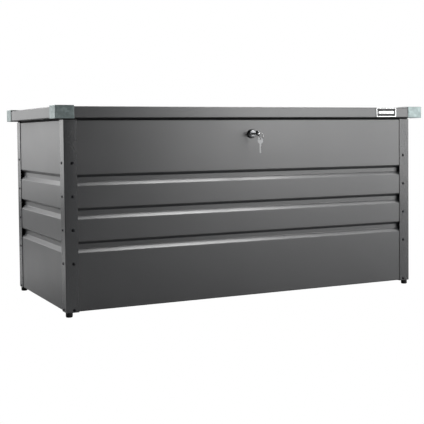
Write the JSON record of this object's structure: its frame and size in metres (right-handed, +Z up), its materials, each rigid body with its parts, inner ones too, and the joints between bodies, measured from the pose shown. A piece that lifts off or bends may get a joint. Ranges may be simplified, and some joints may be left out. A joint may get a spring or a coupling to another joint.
{
  "type": "deck storage box",
  "caption": "Sheet-steel garden storage box on short feet, with grooved panels, corner posts, a capped lid on rear hinges and gas struts, and a cam lock with keys.",
  "frame": {"origin": "middle of the overall box, keys and hinges included, at the ground the feet stand on", "axes": "+Z up, +X along the length to the right as seen from the front, -Y out of the front with the lock"},
  "size_m": [1.33, 0.6244, 0.6305],
  "materials": {
    "coated_sheet": "anthracite powder coat, semi-gloss",
    "cap_metal": "galvanised, satin",
    "zinc_steel": "zinc plated",
    "chrome": "polished",
    "black_enamel": "black enamel",
    "badge": "black plate with a bright rim",
    "rubber": "moulded"
  },
  "bodies": {
    "box": {"floor_left": "coated_sheet", "floor_rail": "zinc_steel", "floor_right": "coated_sheet", "foot_front_left": "rubber", "foot_front_right": "rubber", "foot_rear_left": "rubber", "foot_rear_right": "rubber", "hinge_left_box_leaf": "zinc_steel", "hinge_left_pin": "zinc_steel", "hinge_middle_box_leaf": "zinc_steel", "hinge_middle_pin": "zinc_steel", "hinge_right_box_leaf": "zinc_steel", "hinge_right_pin": "zinc_steel", "lid_seal_front": "rubber", "lid_seal_left": "rubber", "lid_seal_rear": "rubber", "lid_seal_right": "rubber", "lock_body": "chrome", "lock_nut": "zinc_steel", "panel_front": "coated_sheet", "panel_left": "coated_sheet", "panel_rear": "coated_sheet", "panel_right": "coated_sheet", "post_front_left": "coated_sheet", "post_front_right": "coated_sheet", "post_rear_left": "coated_sheet", "post_rear_right": "coated_sheet", "strut_left_box_bracket": "zinc_steel", "strut_right_box_bracket": "zinc_steel"},
    "lid": {"badge_plate": "badge", "hinge_left_lid_leaf": "zinc_steel", "hinge_middle_lid_leaf": "zinc_steel", "hinge_right_lid_leaf": "zinc_steel", "lid_corner_front_left": "cap_metal", "lid_corner_front_right": "cap_metal", "lid_corner_rear_left": "cap_metal", "lid_corner_rear_right": "cap_metal", "lid_rib_left": "coated_sheet", "lid_rib_right": "coated_sheet", "lid_sheet": "coated_sheet", "lock_strike": "zinc_steel", "strut_left_lid_bracket": "zinc_steel", "strut_right_lid_bracket": "zinc_steel"},
    "strut_left_tube": {"strut_left_tube": "black_enamel"},
    "strut_left_rod": {"strut_left_rod": "chrome"},
    "strut_right_tube": {"strut_right_tube": "black_enamel"},
    "strut_right_rod": {"strut_right_rod": "chrome"},
    "lock_plug": {"lock_plug": "chrome", "lock_cam": "zinc_steel", "lock_cam_screw": "zinc_steel"},
    "lock_key": {"lock_key": "chrome"},
    "key_ring": {"key_ring": "chrome"},
    "spare_key": {"spare_key": "chrome"}
  },
  "joints": [
    {"name": "lid_hinge", "type": "hinge", "parent": "box", "child": "lid", "pos_m": [0, 0.3082, 0.59], "axis": [-1, 0, 0], "range_deg": [0, 80]},
    {"name": "strut_left_lower_pivot", "type": "hinge", "parent": "box", "child": "strut_left_tube", "pos_m": [-0.597, 0.21679, 0.36809], "axis": [-1, 0, 0], "range_deg": [0, 40]},
    {"name": "strut_left_upper_pivot", "type": "hinge", "parent": "lid", "child": "strut_left_rod", "pos_m": [-0.597, 0.0684, 0.6], "axis": [-1, 0, 0], "range_deg": [-40, 0]},
    {"name": "strut_right_lower_pivot", "type": "hinge", "parent": "box", "child": "strut_right_tube", "pos_m": [0.597, 0.21679, 0.36809], "axis": [-1, 0, 0], "range_deg": [0, 40]},
    {"name": "strut_right_upper_pivot", "type": "hinge", "parent": "lid", "child": "strut_right_rod", "pos_m": [0.597, 0.0684, 0.6], "axis": [-1, 0, 0], "range_deg": [-40, 0]},
    {"name": "lock_turn", "type": "hinge", "parent": "box", "child": "lock_plug", "pos_m": [-0.002, -0.2558, 0.541], "axis": [0, -1, 0], "range_deg": [-20, 70]},
    {"name": "key_slide", "type": "slide", "parent": "lock_plug", "child": "lock_key", "axis": [0, -1, 0], "range_m": [-0.016, 0.008]},
    {"name": "key_ring_swing", "type": "hinge", "parent": "lock_key", "child": "key_ring", "pos_m": [-0.002, -0.3026, 0.541], "axis": [0, -1, 0], "range_deg": [-70, 20]},
    {"name": "spare_key_swing", "type": "hinge", "parent": "key_ring", "child": "spare_key", "pos_m": [0.00507, -0.3026, 0.52393], "axis": [1, 0, 0], "range_deg": [-25, 25]}
  ],
  "couplings": [
    {"joint": "strut_left_lower_pivot", "follows": "lid_hinge", "ratio": 0.5},
    {"joint": "strut_left_upper_pivot", "follows": "lid_hinge", "ratio": -0.5},
    {"joint": "strut_right_lower_pivot", "follows": "lid_hinge", "ratio": 0.5},
    {"joint": "strut_right_upper_pivot", "follows": "lid_hinge", "ratio": -0.5},
    {"joint": "key_ring_swing", "follows": "lock_turn", "ratio": -1}
  ]
}
